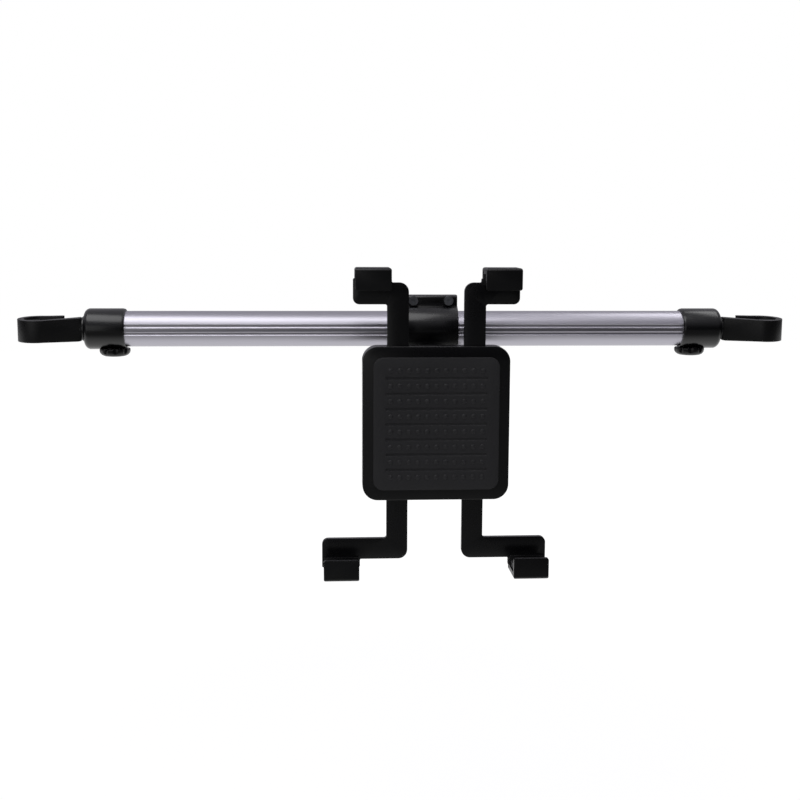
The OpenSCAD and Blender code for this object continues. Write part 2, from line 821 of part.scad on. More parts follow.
module cradle_front() {
    color([0.09, 0.09, 0.10])
        difference() {
            union() {
                to_user(ball[0], lid_y, ball[2]) linear_extrude(shell_t) case_outline();
                at_posts() from_user(0, lid_y - 0.5, 0) cylinder(h = inner_deep + 0.3, r = post_r);
            }
            at_posts() from_user(0, lid_y + 0.5, 0) cylinder(h = inner_deep, r = case_screw_r + fit);
            to_user(ball[0], lid_y + 1, ball[2]) cylinder(h = 2.2, r = 2 + fit);
        }
}

module cradle_pad() {
    w = cradle_w - 2 * rest_pad_in;
    h = cradle_h - 2 * rest_pad_in;
    color([0.15, 0.15, 0.16])
        difference() {
            to_user(ball[0], face_y, ball[2]) linear_extrude(rest_pad_t)
                soft_rect(w, h, cradle_r - rest_pad_in / 2);
            for (i = [-3:3])
                translate([ball[0], rest_y, ball[2] + i * groove_pitch])
                    cube([w - 2 * groove_in, rest_pad_t, groove_w], center = true);
        }
}

module cradle_screws() {
    color("silver")
        at_posts() {
            from_user(0, lid_y + 2, 0) cylinder(h = back_y - lid_y - 2.9, r = case_screw_r);
            from_user(0, back_y - 0.95, 0) difference() {
                cylinder(h = 0.9, r = 2.7);
                translate([0, 0, 0.4]) cylinder(h = 2, r = 1.2, $fn = 6);
            }
        }
}

// Involute measure of an angle, in degrees
function inv(a) = tan(a) * 180 / PI - a;

// Half of a tooth's angle at radius r, in degrees
base_r = pitch_r * cos(pressure);
half_tooth = (tooth_step / 2 - backlash) / 2 / pitch_r * 180 / PI;
function flank(r) = half_tooth + inv(pressure) - inv(acos(base_r / max(r, base_r)));

module gear_outline() {
    steps = [0, 0.3, 0.6, 1];
    radii = [for (s = steps) base_r + s * (tip_r - base_r)];
    circle(root_r);
    for (i = [0:gear_n - 1])
        rotate(i * 360 / gear_n) polygon(concat(
            [[root_r - 0.5, -(root_r - 0.5) * sin(flank(base_r))]],
            [for (r = radii) r * [cos(flank(r)), -sin(flank(r))]],
            [for (k = [3:-1:0]) radii[k] * [cos(flank(radii[k])), sin(flank(radii[k]))]],
            [[root_r - 0.5, (root_r - 0.5) * sin(flank(base_r))]]
        ));
}

module pinion() {
    color([0.9, 0.9, 0.88])
        to_user(ball[0], up_y + pinion_t, ball[2]) linear_extrude(pinion_t) difference() {
            gear_outline();
            circle(pinion_bore);
        }
}

module pinion_pin() {
    color("darkgray")
        to_user(ball[0], back_in + 1.1, ball[2]) cylinder(h = inner_deep + 2.2, r = 2);
}

module pinion_washer() {
    color("silver")
        from_user(ball[0], up_y + pinion_t + 0.2, ball[2]) difference() {
            cylinder(h = washer_wave, r = 5);
            translate([0, 0, -1]) cylinder(h = 3, r = 2.1);
        }
}

// Rack with its pitch line on the pinion, its teeth facing the middle
module rack_outline() {
    slope = gear_m * tan(pressure);
    half = (tooth_step / 2 - backlash) / 2;
    body = pitch_r + 1.25 * gear_m;
    first = ceil(-tongue_end / tooth_step);
    last = floor((bar_top - bar_w) / tooth_step) - 1;
    polygon(concat(
        [[body + rack_w, bar_top - 1], [body, bar_top - 1]],
        [for (i = [last:-1:first], corner = [
            [body, half + 1.25 * slope], [pitch_r - gear_m, half - slope],
            [pitch_r - gear_m, -half + slope], [body, -half - 1.25 * slope]
        ]) corner + [0, (i + 0.5) * tooth_step]],
        [[body, -tongue_end], [body + rack_w, -tongue_end]]
    ));
}

// Arc of radius r that rounds the corner b between the edges to a and c
function corner(a, b, c, r) =
    let (
        u = (a - b) / norm(a - b),
        v = (c - b) / norm(c - b),
        half = acos(u * v) / 2,
        mid = b + (u + v) / norm(u + v) * r / sin(half),
        p = b + u * r / tan(half) - mid,
        way = sign(u[1] * v[0] - u[0] * v[1]),
        step = way * (180 - 2 * half) / corner_steps
    )
    [for (i = [0:corner_steps])
        mid + [p[0] * cos(i * step) - p[1] * sin(i * step), p[0] * sin(i * step) + p[1] * cos(i * step)]];

// Outline with every corner rounded, each corner given as x, y and radius
function rounded(c) =
    let (n = len(c), xy = [for (k = c) [k[0], k[1]]])
    [for (i = [0:n - 1]) each corner(xy[(i + n - 1) % n], xy[i], xy[(i + 1) % n], c[i][2])];

// Jaw plate, drawn with its claws upwards: neck_over is how far it shows past the device
module jaw_outline(span, neck_over) {
    out = leg_x + leg_w / 2;
    inn = leg_x - leg_w / 2;
    sx = span / 2;
    neck_z = claw_z + neck_over;
    half_neck = claw_w / 2 + 1;
    half_tail = tail_w / 2;
    right = [
        [out, bar_top - bar_w, 3], [out, bend_z - leg_w / 2, 1.5],
        [sx + half_neck, bend_z - leg_w / 2, 4], [sx + half_neck, neck_z, 1],
        [sx + half_tail, neck_z, 0.5], [sx + half_tail, tail_top - 0.1, 1.5],
        [sx - half_tail, tail_top - 0.1, 1.5], [sx - half_tail, neck_z, 0.5],
        [sx - half_neck, neck_z, 1], [sx - half_neck, bend_z + leg_w / 2, 0.9],
        [inn, bend_z + leg_w / 2, 6], [inn, bar_top, 0.6]
    ];
    left = [for (i = [len(right) - 1:-1:0]) [-right[i][0], right[i][1], right[i][2]]];
    rack_outline();
    polygon(rounded(concat(right, left)));
}

module upper_bracket() {
    color([0.11, 0.11, 0.12])
        difference() {
            to_user(ball[0], up_y + jaw_t, ball[2]) linear_extrude(jaw_t) jaw_outline(upper_span, 1.2);
            at_claw_screws(1) from_user(0, up_y - 1, 0) cylinder(h = jaw_t + 2, r = 1.25);
        }
}

module lower_bracket() {
    color([0.11, 0.11, 0.12])
        difference() {
            to_user(ball[0], low_y + jaw_t, ball[2]) linear_extrude(jaw_t) rotate(180)
                jaw_outline(lower_span, 4);
            at_claw_screws(-1) from_user(0, low_y - 1, 0) cylinder(h = jaw_t + 2, r = 1.25);
        }
}

// Claw section in Y and in distance outward from the middle, for one plate place
module claw_outline(plate_y) {
    front = lip_y - lip_t;
    back = plate_y + jaw_t + claw_back;
    r = claw_t / 2 - 0.1;
    difference() {
        union() {
            translate([front, claw_z - lip_over]) square([lip_t, claw_top - r - claw_z + lip_over]);
            translate([front + r, claw_z + claw_pad_t]) square([back - front - 2 * r, claw_t]);
            translate([front + r, claw_top - r]) circle(r);
            translate([back - r, claw_top - r]) circle(r);
            translate([plate_y - claw_front_wall, claw_z - claw_root])
                square([back - plate_y + claw_front_wall, claw_top - r - claw_z + claw_root]);
        }
        translate([plate_y - fit, claw_z - claw_root - 1])
            square([jaw_t + 2 * fit, tail_top - claw_z + claw_root + 1]);
    }
}

module at_claw(up, side) {
    span = up > 0 ? upper_span : lower_span;
    translate([ball[0] + side * span / 2, 0, ball[2]]) mirror([0, 0, up > 0 ? 0 : 1]) children();
}

module at_claw_screws(up)
    for (side = [-1, 1], sx = [-1, 1])
        at_claw(up, side) translate([sx * 5, 0, claw_z + 1.5]) children();

module claw(up, side) {
    plate_y = up > 0 ? up_y : low_y;
    back = plate_y + jaw_t + claw_back;
    color([0.06, 0.06, 0.07])
        difference() {
            at_claw(up, side) intersection() {
                wide(0, claw_w) claw_outline(plate_y);
                to_user(0, back + 1, (claw_z - lip_over + claw_top) / 2)
                    linear_extrude(back - lip_y + lip_t + 2)
                        soft_rect(claw_w, claw_top - claw_z + lip_over, claw_corner);
            }
            at_claw_screws(up) from_user(0, plate_y - 1.3, 0)
                cylinder(h = jaw_t + claw_back + 3, r = 1.25);
            at_claw_screws(up) from_user(0, back - 1, 0) cylinder(h = 3, r = 2.3);
        }
}

module claw_pad(up, side) {
    plate_y = up > 0 ? up_y : low_y;
    deep = plate_y - claw_front_wall - lip_y - 2 * fit;
    color([0.13, 0.13, 0.14])
        at_claw(up, side) translate([0, lip_y + fit + deep / 2, claw_z + claw_pad_t / 2])
            difference() {
                cube([claw_w - 2, deep, claw_pad_t - fit], center = true);
                for (i = [-2:2])
                    translate([i * 4, 0, -claw_pad_t / 2]) rotate([90, 0, 0])
                        cylinder(h = 2 * deep, r = 0.6, center = true, $fn = 24);
            }
}

module claw_screws(up) {
    plate_y = up > 0 ? up_y : low_y;
    color("silver")
        at_claw_screws(up) {
            from_user(0, plate_y - 1.2, 0) cylinder(h = jaw_t + claw_back + 0.3, r = 1.2);
            from_user(0, plate_y + jaw_t + claw_back - 0.95, 0) difference() {
                cylinder(h = 0.95, r = 2.2);
                translate([0, 0, 0.4]) cylinder(h = 2, r = 1, $fn = 6);
            }
        }
}

bar_tube();
collar(-1);  // collar_left
collar(1);  // collar_right
rod(-1);  // rod_left
rod(1);  // rod_right
rod_bush(-1);  // rod_bush_left
rod_bush(1);  // rod_bush_right
hook(-1);  // hook_left
hook(1);  // hook_right
hook_pad(-1);  // hook_pad_left
hook_pad(1);  // hook_pad_right
hook_pin(-1);  // hook_pin_left
hook_pin(1);  // hook_pin_right
thumb_knob(-1);  // thumb_knob_left
thumb_knob(1);  // thumb_knob_right
lock_stud(-1);  // lock_stud_left
lock_stud(1);  // lock_stud_right
lock_nut(-1);  // lock_nut_left
lock_nut(1);  // lock_nut_right
carriage_body();
carriage_cap();
carriage_screws();
carriage_nuts();
carriage_insert();
carriage_stud();
carriage_knob();
arm();
arm_bolt();
arm_washer();
arm_knob();
arm_knob_insert();
socket_ring();
ball_liner();
ball_stud();
turntable_ring();
turntable_screws();
cradle_back();
cradle_front();
cradle_pad();
cradle_screws();
pinion();
pinion_pin();
pinion_washer();
upper_bracket();
lower_bracket();
claw(1, -1);  // claw_upper_left
claw(1, 1);  // claw_upper_right
claw(-1, -1);  // claw_lower_left
claw(-1, 1);  // claw_lower_right
claw_pad(1, -1);  // claw_pad_upper_left
claw_pad(1, 1);  // claw_pad_upper_right
claw_pad(-1, -1);  // claw_pad_lower_left
claw_pad(-1, 1);  // claw_pad_lower_right
claw_screws(1);  // upper_claw_screws
claw_screws(-1);  // lower_claw_screws
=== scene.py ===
# %% [markdown]
# # A headrest tablet mount
# The real object is a fluted aluminium bar that hangs between the two posts of a car
# headrest, with a clawed cradle on a short arm and a ball joint. The CAD model is exact
# but sharp-edged and bare. This notebook adds what a moulder, an extruder and a plating
# shop would add: soft edges, rubber pips and ribs, and the finish of every material.
# Everything is in metres, with X along the bar and Z up.

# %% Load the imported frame
import json
import math

import bmesh
import bpy
from mathutils import Matrix, Quaternion, Vector

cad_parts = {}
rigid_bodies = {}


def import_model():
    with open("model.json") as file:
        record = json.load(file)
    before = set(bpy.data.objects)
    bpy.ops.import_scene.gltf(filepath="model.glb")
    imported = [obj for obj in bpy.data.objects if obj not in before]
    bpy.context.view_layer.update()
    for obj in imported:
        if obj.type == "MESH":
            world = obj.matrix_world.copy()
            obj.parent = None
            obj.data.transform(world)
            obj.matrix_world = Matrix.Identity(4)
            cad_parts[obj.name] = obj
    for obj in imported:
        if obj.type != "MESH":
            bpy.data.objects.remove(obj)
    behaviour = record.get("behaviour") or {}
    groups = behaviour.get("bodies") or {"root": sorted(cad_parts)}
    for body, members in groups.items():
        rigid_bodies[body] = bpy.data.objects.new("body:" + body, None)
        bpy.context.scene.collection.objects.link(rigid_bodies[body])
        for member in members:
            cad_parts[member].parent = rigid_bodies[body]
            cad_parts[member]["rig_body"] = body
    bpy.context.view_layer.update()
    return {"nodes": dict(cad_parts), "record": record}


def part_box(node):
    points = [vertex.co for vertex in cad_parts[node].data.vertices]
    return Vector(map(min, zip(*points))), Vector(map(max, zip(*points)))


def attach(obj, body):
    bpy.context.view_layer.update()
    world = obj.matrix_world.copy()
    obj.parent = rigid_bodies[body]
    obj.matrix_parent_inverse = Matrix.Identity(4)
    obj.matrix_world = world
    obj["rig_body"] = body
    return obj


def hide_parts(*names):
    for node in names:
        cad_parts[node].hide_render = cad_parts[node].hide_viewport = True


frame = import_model()
nodes = frame["nodes"]
MM = 0.001

# %% [markdown]
# ## The camera
# The photograph was taken from about 0.85 m away, a little above the bar and slightly
# from the left. A 55 mm lens there gives the same perspective as the photograph: the
# bar, which is further away than the claws, looks slightly smaller than they do. The
# camera leans by a quarter of a degree, because the bar does so in the photograph.

# %% Camera
LENS_MM = 55.4
VIEW_DISTANCE = 0.85
VIEW_AZIMUTH, VIEW_ELEVATION = math.radians(-3.75), math.radians(8.0)
VIEW_ROLL = math.radians(0.25)
VIEW_TARGET = Vector((0.2432, 0.004, -0.0495))
CLIP_NEAR, CLIP_FAR = 0.01, 20.0

camera_data = bpy.data.cameras.new("photo_camera")
camera_data.lens = LENS_MM
camera_data.clip_start, camera_data.clip_end = CLIP_NEAR, CLIP_FAR
camera = bpy.data.objects.new("photo_camera", camera_data)
bpy.context.scene.collection.objects.link(camera)
towards_camera = Vector((
    math.sin(VIEW_AZIMUTH) * math.cos(VIEW_ELEVATION),
    -math.cos(VIEW_AZIMUTH) * math.cos(VIEW_ELEVATION),
    math.sin(VIEW_ELEVATION)))
camera.location = VIEW_TARGET + towards_camera * VIEW_DISTANCE
upright = (-towards_camera).to_track_quat("-Z", "Y")
camera.rotation_euler = (upright @ Quaternion((0, 0, 1), VIEW_ROLL)).to_euler()
bpy.context.scene.camera = camera
print("camera at", [round(c, 3) for c in camera.location])

# %% [markdown]
# ## Node helpers
# Every material and every Geometry Nodes tree below is a small network. Three helpers keep
# them short: one turns the sRGB hex value that a painter would write into the linear
# colour that shaders need, one adds a node with its settings and its links, and one
# starts a material with its shader.

# %% Node helpers
def linear(hex_value):
    """Turn an sRGB hex value into a linear colour with full alpha."""
    parts = [int(hex_value[i:i + 2], 16) / 255 for i in (1, 3, 5)]
    return (*[c / 12.92 if c <= 0.04045 else ((c + 0.055) / 1.055) ** 2.4 for c in parts], 1.0)


def add(tree, kind, settings=None, inputs=None):
    """Add one node, set its properties, and set or link its inputs."""
    node = tree.nodes.new(kind)
    for name, value in (settings or {}).items():
        setattr(node, name, value)
    for name, value in (inputs or {}).items():
        if isinstance(value, bpy.types.NodeSocket):
            tree.links.new(value, node.inputs[name])
        else:
            node.inputs[name].default_value = value
    return node


def new_material(name, color, **sockets):
    """Make a material with one Principled shader and return it with its tree and shader."""
    material = bpy.data.materials.new(name)
    material.use_nodes = True
    tree = material.node_tree
    tree.nodes.clear()
    shader = add(tree, "ShaderNodeBsdfPrincipled", inputs={"Base Color": linear(color)})
    for socket, value in sockets.items():
        shader.inputs[socket.replace("_", " ")].default_value = value
    add(tree, "ShaderNodeOutputMaterial", inputs={"Surface": shader.outputs["BSDF"]})
    return material, tree, shader


print("a mid grey in linear light:", [round(c, 3) for c in linear("#808080")])

# %% [markdown]
# ## The room
# A plain white floor and a white room. The camera sees them as white through Is Camera
# Ray, and metal sees them through Is Glossy Ray, so neither needs more light on the
# object. What metal sees of the floor is pale under the object and darkens towards the
# camera, which shades the bar's lower half. Close to the object the floor is real matt
# paper that keeps a soft shadow, and it fades to plain white further out, so that no
# horizon shows.

# %% Room
FLOOR_Z = -0.42
ROOM_HALF = 4.0
PAPER_COLOR = "#F4F4F6"
WHITE_STRENGTH = 1.09
MIRROR_DARK_Y, MIRROR_PALE_Y = -0.7, 0.0
MIRROR_DARK, MIRROR_PALE = 0.12, 1.0
SHADOW_CENTRE = (0.26, 0.25, FLOOR_Z)
SHADOW_NEAR, SHADOW_FAR = 0.25, 0.95
SHADOW_SHARE = 0.16


def floor_paper():
    """White to the camera, pale in reflections, and matt paper under the shadow."""
    material = bpy.data.materials.new("white_backdrop_paper")
    material.use_nodes = True
    tree = material.node_tree
    tree.nodes.clear()
    path = add(tree, "ShaderNodeLightPath")
    paper = add(tree, "ShaderNodeBsdfDiffuse", inputs={"Color": linear(PAPER_COLOR)})
    seen = add(tree, "ShaderNodeEmission",
               inputs={"Color": (1, 1, 1, 1), "Strength": WHITE_STRENGTH})
    place = add(tree, "ShaderNodeTexCoord")
    depth = add(tree, "ShaderNodeSeparateXYZ", inputs={"Vector": place.outputs["Object"]})
    lit = add(tree, "ShaderNodeMapRange", {"interpolation_type": "SMOOTHSTEP"},
              {"Value": depth.outputs["Y"], "From Min": MIRROR_DARK_Y,
               "From Max": MIRROR_PALE_Y, "To Min": MIRROR_DARK, "To Max": MIRROR_PALE})
    mirrored = add(tree, "ShaderNodeEmission", inputs={"Strength": lit.outputs["Result"]})
    away = add(tree, "ShaderNodeVectorMath", {"operation": "DISTANCE"},
               {0: place.outputs["Object"], 1: SHADOW_CENTRE})
    share = add(tree, "ShaderNodeMapRange", {"interpolation_type": "SMOOTHSTEP"},
                {"Value": away.outputs["Value"], "From Min": SHADOW_NEAR,
                 "From Max": SHADOW_FAR, "To Min": 1.0 - SHADOW_SHARE, "To Max": 1.0})
    white = add(tree, "ShaderNodeMath", {"operation": "MULTIPLY"},
                {0: path.outputs["Is Camera Ray"], 1: share.outputs["Result"]})
    by_camera = add(tree, "ShaderNodeMixShader",
                    inputs={0: white.outputs[0], 1: paper.outputs[0], 2: seen.outputs[0]})
    by_mirror = add(tree, "ShaderNodeMixShader",
                    inputs={0: path.outputs["Is Glossy Ray"], 1: by_camera.outputs[0],
                            2: mirrored.outputs[0]})
    add(tree, "ShaderNodeOutputMaterial", inputs={"Surface": by_mirror.outputs[0]})
    return material


floor_mesh = bpy.data.meshes.new("floor")
floor_mesh.from_pydata([(x, y, FLOOR_Z) for x, y in
                        [(-ROOM_HALF, -ROOM_HALF), (ROOM_HALF, -ROOM_HALF),
                         (ROOM_HALF, ROOM_HALF), (-ROOM_HALF, ROOM_HALF)]], [], [range(4)])
floor_mesh.materials.append(floor_paper())
floor = bpy.data.objects.new("floor", floor_mesh)
bpy.context.scene.collection.objects.link(floor)
print("floor at", FLOOR_Z)

# %% [markdown]
# ## Studio light
# Black plastic shows its shape only by what it mirrors. So the studio is dark towards the
# camera, and the ceiling and the far side are pale. A large soft box hangs in front and
# above, a little to the left, a narrow one hangs over the right end, and a weak one
# fills from the front left. On a round bar that gives what the photograph shows: a broad
# bright band on the upper third, a dark middle, and a grey lower third from the floor.

# %% Studio light
DARK_FRONT, PALE_CEILING = "#0C0C10", "#D2D0D8"
DARK_STOP, PALE_STOP = 0.15, 0.85
BACK_FROM, BACK_TO, BACK_LIFT = -0.2, 0.6, 0.45
WORLD_STRENGTH = 0.7
BAR_LEFT, BAR_MIDDLE, BAR_RIGHT = (0.10, 0.0, -0.02), (0.20, 0.0, -0.02), (0.50, 0.0, -0.02)

world = bpy.data.worlds.new("studio")
world.use_nodes = True
bpy.context.scene.world = world
sky = world.node_tree
sky.nodes.clear()
ray = add(sky, "ShaderNodeLightPath")
white_to_camera = add(sky, "ShaderNodeBackground",
                      inputs={"Color": (1, 1, 1, 1), "Strength": 1.0})
direction = add(sky, "ShaderNodeTexCoord")
height = add(sky, "ShaderNodeSeparateXYZ", inputs={"Vector": direction.outputs["Generated"]})
behind = add(sky, "ShaderNodeMapRange", {"interpolation_type": "SMOOTHSTEP"},
             {"Value": height.outputs["Y"], "From Min": BACK_FROM, "From Max": BACK_TO,
              "To Max": BACK_LIFT})
upward = add(sky, "ShaderNodeMath", {"operation": "ADD", "use_clamp": True},
             {0: height.outputs["Z"], 1: behind.outputs["Result"]})
studio_ramp = add(sky, "ShaderNodeValToRGB", inputs={"Fac": upward.outputs[0]})
for stop, place, color in zip(studio_ramp.color_ramp.elements, (DARK_STOP, PALE_STOP),
                              (DARK_FRONT, PALE_CEILING)):
    stop.position, stop.color = place, linear(color)
soft_room = add(sky, "ShaderNodeBackground", inputs={"Color": studio_ramp.outputs["Color"],
                                                     "Strength": WORLD_STRENGTH})
choice = add(sky, "ShaderNodeMixShader", inputs={0: ray.outputs["Is Camera Ray"],
                                                 1: soft_room.outputs[0],
                                                 2: white_to_camera.outputs[0]})
add(sky, "ShaderNodeOutputWorld", inputs={"Surface": choice.outputs[0]})


def soft_box(name, place, aim, size, radiance):
    """Hang one soft box that faces a point on the object, as bright as radiance times white."""
    lamp = bpy.data.lights.new(name, "AREA")
    lamp.shape = "RECTANGLE"
    lamp.size, lamp.size_y = size
    lamp.energy = radiance * math.pi * size[0] * size[1]
    holder = bpy.data.objects.new(name, lamp)
    holder.location = place
    holder.rotation_euler = (Vector(aim) - Vector(place)).to_track_quat("-Z", "Y").to_euler()
    holder.visible_camera = False
    bpy.context.scene.collection.objects.link(holder)


soft_box("key_left", (-0.10, -0.36, 0.87), BAR_LEFT, (1.0, 0.62), 2.3)
soft_box("strip_right", (0.80, 0.12, 0.93), BAR_RIGHT, (0.7, 0.25), 2.8)
soft_box("fill_left", (-0.75, -1.60, 0.25), BAR_MIDDLE, (1.6, 0.9), 0.6)

bpy.context.scene.view_settings.view_transform = "Standard"

# %% [markdown]
# ## Aluminium and other metals
# The tube is extruded 6063 aluminium, etched and clear anodised. The die leaves long
# faint lines along the bar, and the etch leaves a satin, slightly cool grey. The lines
# are drawn about 0.33 mm wide, much coarser than real ones, so that they just show.
# Every metal keeps the default IOR, and its roughness follows its lines.

# %% Metals
LINE_DETAIL = 3.0


def pattern(tree, per_m, detail, rough=0.5):
    """A 0 to 1 noise in Object coordinates, with this many features to a metre on each axis."""
    place = add(tree, "ShaderNodeTexCoord")
    sized = add(tree, "ShaderNodeMapping", inputs={"Vector": place.outputs["Object"],
                                                   "Scale": per_m})
    marks = add(tree, "ShaderNodeTexNoise", inputs={"Vector": sized.outputs["Vector"],
                                                    "Scale": 1.0, "Detail": detail,
                                                    "Roughness": rough})
    return marks.outputs["Fac"]


def work_surface(tree, shader, marks, low, high, relief, relief_mm):
    """Let marks move the roughness between two values, and raise relief by a real height."""
    spread = add(tree, "ShaderNodeMapRange",
                 inputs={"Value": marks, "To Min": low, "To Max": high})
    bump = add(tree, "ShaderNodeBump", inputs={"Strength": 1.0, "Distance": relief_mm * MM,
                                               "Height": relief})
    tree.links.new(spread.outputs["Result"], shader.inputs["Roughness"])
    tree.links.new(bump.outputs["Normal"], shader.inputs["Normal"])


def drawn_metal(name, color, along_per_m, across_per_m, low, high, relief_mm):
    """A metal with faint lines, by their number in a metre along and across the bar."""
    material, tree, shader = new_material(name, color, Metallic=1.0)
    lines = pattern(tree, (along_per_m, across_per_m, across_per_m), LINE_DETAIL)
    work_surface(tree, shader, lines, low, high, lines, relief_mm)
    return material


finishes = {
    # The tube, etched and anodised: a satin cool grey with a wide, soft highlight.
    "satin_aluminium": drawn_metal("satin_anodised_aluminium", "#BAB8C1", 2, 3000,
                                   0.34, 0.42, 0.0012),
    # Rods and ball, ground and chromed: a sharp mirror, drawn out along the bar.
    "polished_steel": drawn_metal("chrome_plated_steel", "#C6C8CC", 30, 3000,
                                  0.08, 0.16, 0.001),
    # Screws, pins and nuts, zinc plated: a duller, mottled blue-grey.
    "screw_steel": drawn_metal("zinc_plated_steel", "#A9ACB2", 900, 900,
                               0.24, 0.42, 0.006),
    # Turned nuts and inserts: warm yellow with the lathe's fine cross lines.
    "brass": drawn_metal("turned_brass", "#C9A661", 2500, 300, 0.22, 0.36, 0.004),
}
print("metals:", [m.name for m in finishes.values()])

# %% [markdown]
# ## Moulded plastics
# All the black parts are injection moulded. A mould is spark eroded, which leaves a fine
# even grain: coarse and matt on the hooks, finer on the collars and the cradle, and
# finest on the claws and the knobs, which fingers rub smooth. The grain is drawn 0.35 to
# 0.6 mm wide, about twice its real size, so that it still shows at arm's length. The IOR
# starts from the plastics' usual 1.48 to 1.59, and it is lowered where the photograph is
# darker, because a grained face traps a part of the light that it mirrors.

# %% Plastics and rubber
GRAIN_DETAIL, GRAIN_ROUGH = 2.0, 0.6
FLOW_PER_M, FLOW_DETAIL = 28, 3.0
COAT_ROUGHNESS = 0.15


def moulded(name, dark, light, grain_mm, relief_mm, low, high, ior=1.50, coat=0.0):
    """A moulded plastic with spark-eroded grain and slow, faint flow marks."""
    material, tree, shader = new_material(name, light, IOR=ior, Coat_Weight=coat,
                                          Coat_Roughness=COAT_ROUGHNESS)
    grain_per_m = 1.0 / (grain_mm * MM)
    grain = pattern(tree, (grain_per_m,) * 3, GRAIN_DETAIL, GRAIN_ROUGH)
    flow = pattern(tree, (FLOW_PER_M,) * 3, FLOW_DETAIL)
    shade = add(tree, "ShaderNodeMix", {"data_type": "RGBA"},
                {0: flow, 6: linear(dark), 7: linear(light)})
    tree.links.new(shade.outputs[2], shader.inputs["Base Color"])
    work_surface(tree, shader, flow, low, high, grain, relief_mm)
    return material


finishes.update({
    # Collars, carriage, arm and cradle: a deep black with a soft sheen.
    "moulded_black": moulded("spark_eroded_black_abs", "#050507", "#09090B", 0.5, 0.012,
                             0.24, 0.32, coat=0.2),
    # Hooks: glass fibre near the skin makes the coarsest and dullest black.
    "hook_black": moulded("glass_filled_black_nylon", "#050506", "#09090A", 0.6, 0.020,
                          0.36, 0.46, ior=1.44),
    # Knobs: smooth and slightly glossy, so that their lobes catch small highlights.
    "knob_black": moulded("smooth_black_polypropylene", "#050507", "#09090B", 0.4, 0.006,
                          0.24, 0.32, ior=1.42),
    # Claws: a fine even grain that reads as flat black.
    "claw_black": moulded("fine_grained_black_pc", "#040406", "#08080A", 0.35, 0.010,
                          0.32, 0.42, ior=1.44),
    # Pads: a matt charcoal, a little paler than the plastic round it.
    "soft_rubber": moulded("matt_black_eva_rubber", "#1A1A1C", "#242426", 0.45, 0.030,
                           0.55, 0.70),
    # Guide bushes: a dark grey with an oily sheen.
    "bush_plastic": moulded("grey_pom_bush", "#2C2C30", "#36363A", 0.5, 0.008,
                            0.36, 0.46, ior=1.48),
    # Ball liner and pinion: a milky white that hides its tool marks.
    "acetal_white": moulded("machined_white_acetal", "#D9D8D2", "#E6E5E0", 0.5, 0.006,
                            0.32, 0.42, ior=1.48),
})
print("finishes:", len(finishes))

# %% [markdown]
# ## A finish on every part
# The CAD record names the finish of each part, so one loop can dress them all. Parts that
# keep their CAD mesh, such as the tube, the rods and the screws, are then ready.

# %% Put a finish on every CAD node
slot_of = {row["node"]: row["material_slot"] for row in frame["record"]["subparts"]}
for name, node in nodes.items():
    node.data.materials.clear()
    node.data.materials.append(finishes[slot_of[name]])
print("finished nodes:", len(slot_of))

# %% [markdown]
# ## Soft moulded edges
# No moulded edge is sharp: the cutter that made the mould leaves a radius. Bevelling by
# hand would lose the exact CAD form, so each part is a copy of its CAD node, with its
# loose triangles merged, its flat faces joined, and its sharp edges bevelled by a real
# radius in millimetres.

# %% Soft edges
MERGE_MM = 0.002
FLAT_DEG, SHARP_DEG, SHADE_DEG = 0.5, 28.0, 35
BEVEL_STEPS = 3


def soft_mesh(node_name, radius_mm):
    """Copy a CAD node's mesh and give its sharp edges a radius."""
    mesh = nodes[node_name].data.copy()
    shape = bmesh.new()
    shape.from_mesh(mesh)
    bmesh.ops.remove_doubles(shape, verts=shape.verts, dist=MERGE_MM * MM)
    bmesh.ops.dissolve_limit(shape, angle_limit=math.radians(FLAT_DEG), verts=shape.verts,
                             edges=shape.edges)
    sharp = [e for e in shape.edges
             if len(e.link_faces) == 2 and e.calc_face_angle() > math.radians(SHARP_DEG)]
    bmesh.ops.bevel(shape, geom=sharp, offset=radius_mm * MM, segments=BEVEL_STEPS,
                    profile=0.5, affect="EDGES", clamp_overlap=True)
    bmesh.ops.triangulate(shape, faces=shape.faces)
    shape.to_mesh(mesh)
    shape.free()
    return mesh


def finished_piece(name, mesh, node_names):
    """Shade a mesh, let it ride on the body of its CAD nodes, and stand in for them."""
    mesh.shade_smooth()
    mesh.set_sharp_from_angle(angle=math.radians(SHADE_DEG))
    piece = bpy.data.objects.new(name, mesh)
    bpy.context.scene.collection.objects.link(piece)
    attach(piece, nodes[node_names[0]]["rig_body"])
    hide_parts(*node_names)
    print(name, "triangles:", len(mesh.polygons))
    return piece


edge_radius = {
    "hook_left": 0.9, "hook_right": 0.9,
    "claw_upper_left": 0.6, "claw_upper_right": 0.6,
    "claw_lower_left": 0.6, "claw_lower_right": 0.6,
    "thumb_knob_left": 0.35, "thumb_knob_right": 0.35,
    "carriage_knob": 0.6, "arm_knob": 0.5,
    "collar_left": 0.2, "collar_right": 0.2,
    "carriage_body": 0.4, "carriage_cap": 0.5, "arm": 0.5, "socket_ring": 0.3,
    "turntable_ring": 0.3, "cradle_back": 0.6, "cradle_front": 0.5,
    "upper_bracket": 0.3, "lower_bracket": 0.3,
}
for node_name, radius_mm in edge_radius.items():
    finished_piece(node_name + "_soft", soft_mesh(node_name, radius_mm), [node_name])

# %% [markdown]
# ## Relief on the rubber pads
# The pads are moulded rubber with anti-slip relief: small pips on the rest pad, ribs in the
# claws, and upright ribs round each post. Relief that repeats is grown by Geometry Nodes:
# one small tree sets a squashed sphere on a grid of points, another sets round bars on an
# arc. Both have named sizes, and both end as plain meshes, so that a size can be changed
# in one place.

# %% Two trees that grow relief
BALL_SEGMENTS, BALL_RINGS, BAR_SIDES = 12, 8, 10


